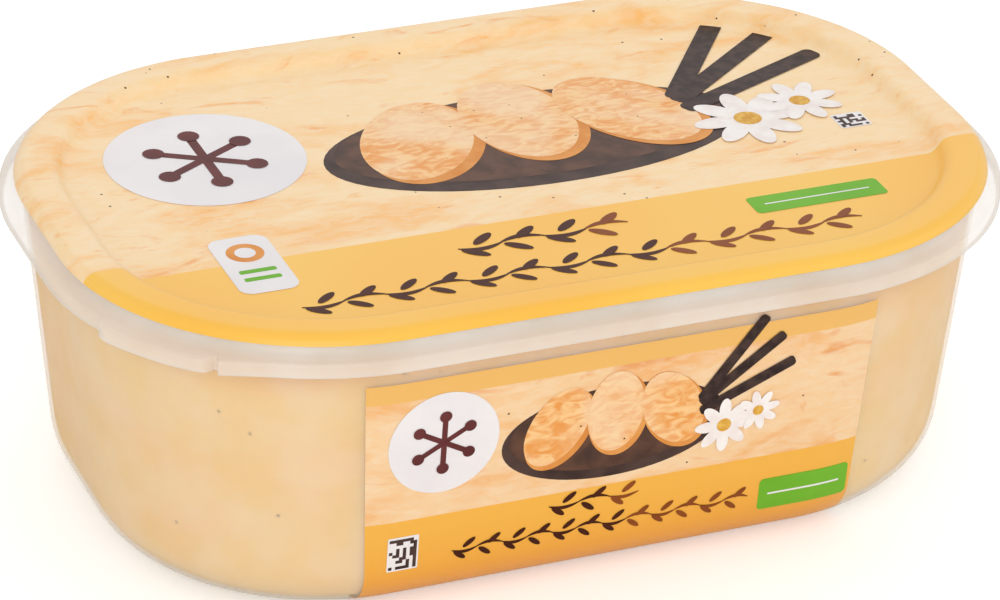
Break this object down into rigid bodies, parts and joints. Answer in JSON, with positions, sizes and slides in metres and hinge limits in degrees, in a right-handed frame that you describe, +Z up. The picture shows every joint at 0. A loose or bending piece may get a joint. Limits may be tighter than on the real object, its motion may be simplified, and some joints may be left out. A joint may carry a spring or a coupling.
{
  "type": "ice cream tub",
  "caption": "Tapered oblong ice cream tub with a press-on lid and a finger tab at one corner, full of vanilla ice cream.",
  "frame": {"origin": "middle of the flat face the tub stands on", "axes": "+X along the tub's length, +Z up out of the lid, the labelled front faces -Y"},
  "size_m": [0.19, 0.1266, 0.0642],
  "materials": {
    "tub_plastic": "translucent natural polypropylene, satin",
    "lid_plastic": "translucent natural polypropylene, satin",
    "ice_cream": "soft matt vanilla ice cream with fine brown specks",
    "lid_print": "printed film moulded into the lid, glossy",
    "wall_print": "printed film moulded into the wall, satin"
  },
  "bodies": {
    "root": {"tub": "tub_plastic", "ice_cream": "ice_cream", "lid": "lid_plastic", "lid_label": "lid_print", "front_label": "wall_print", "back_label": "wall_print"}
  },
  "joints": []
}
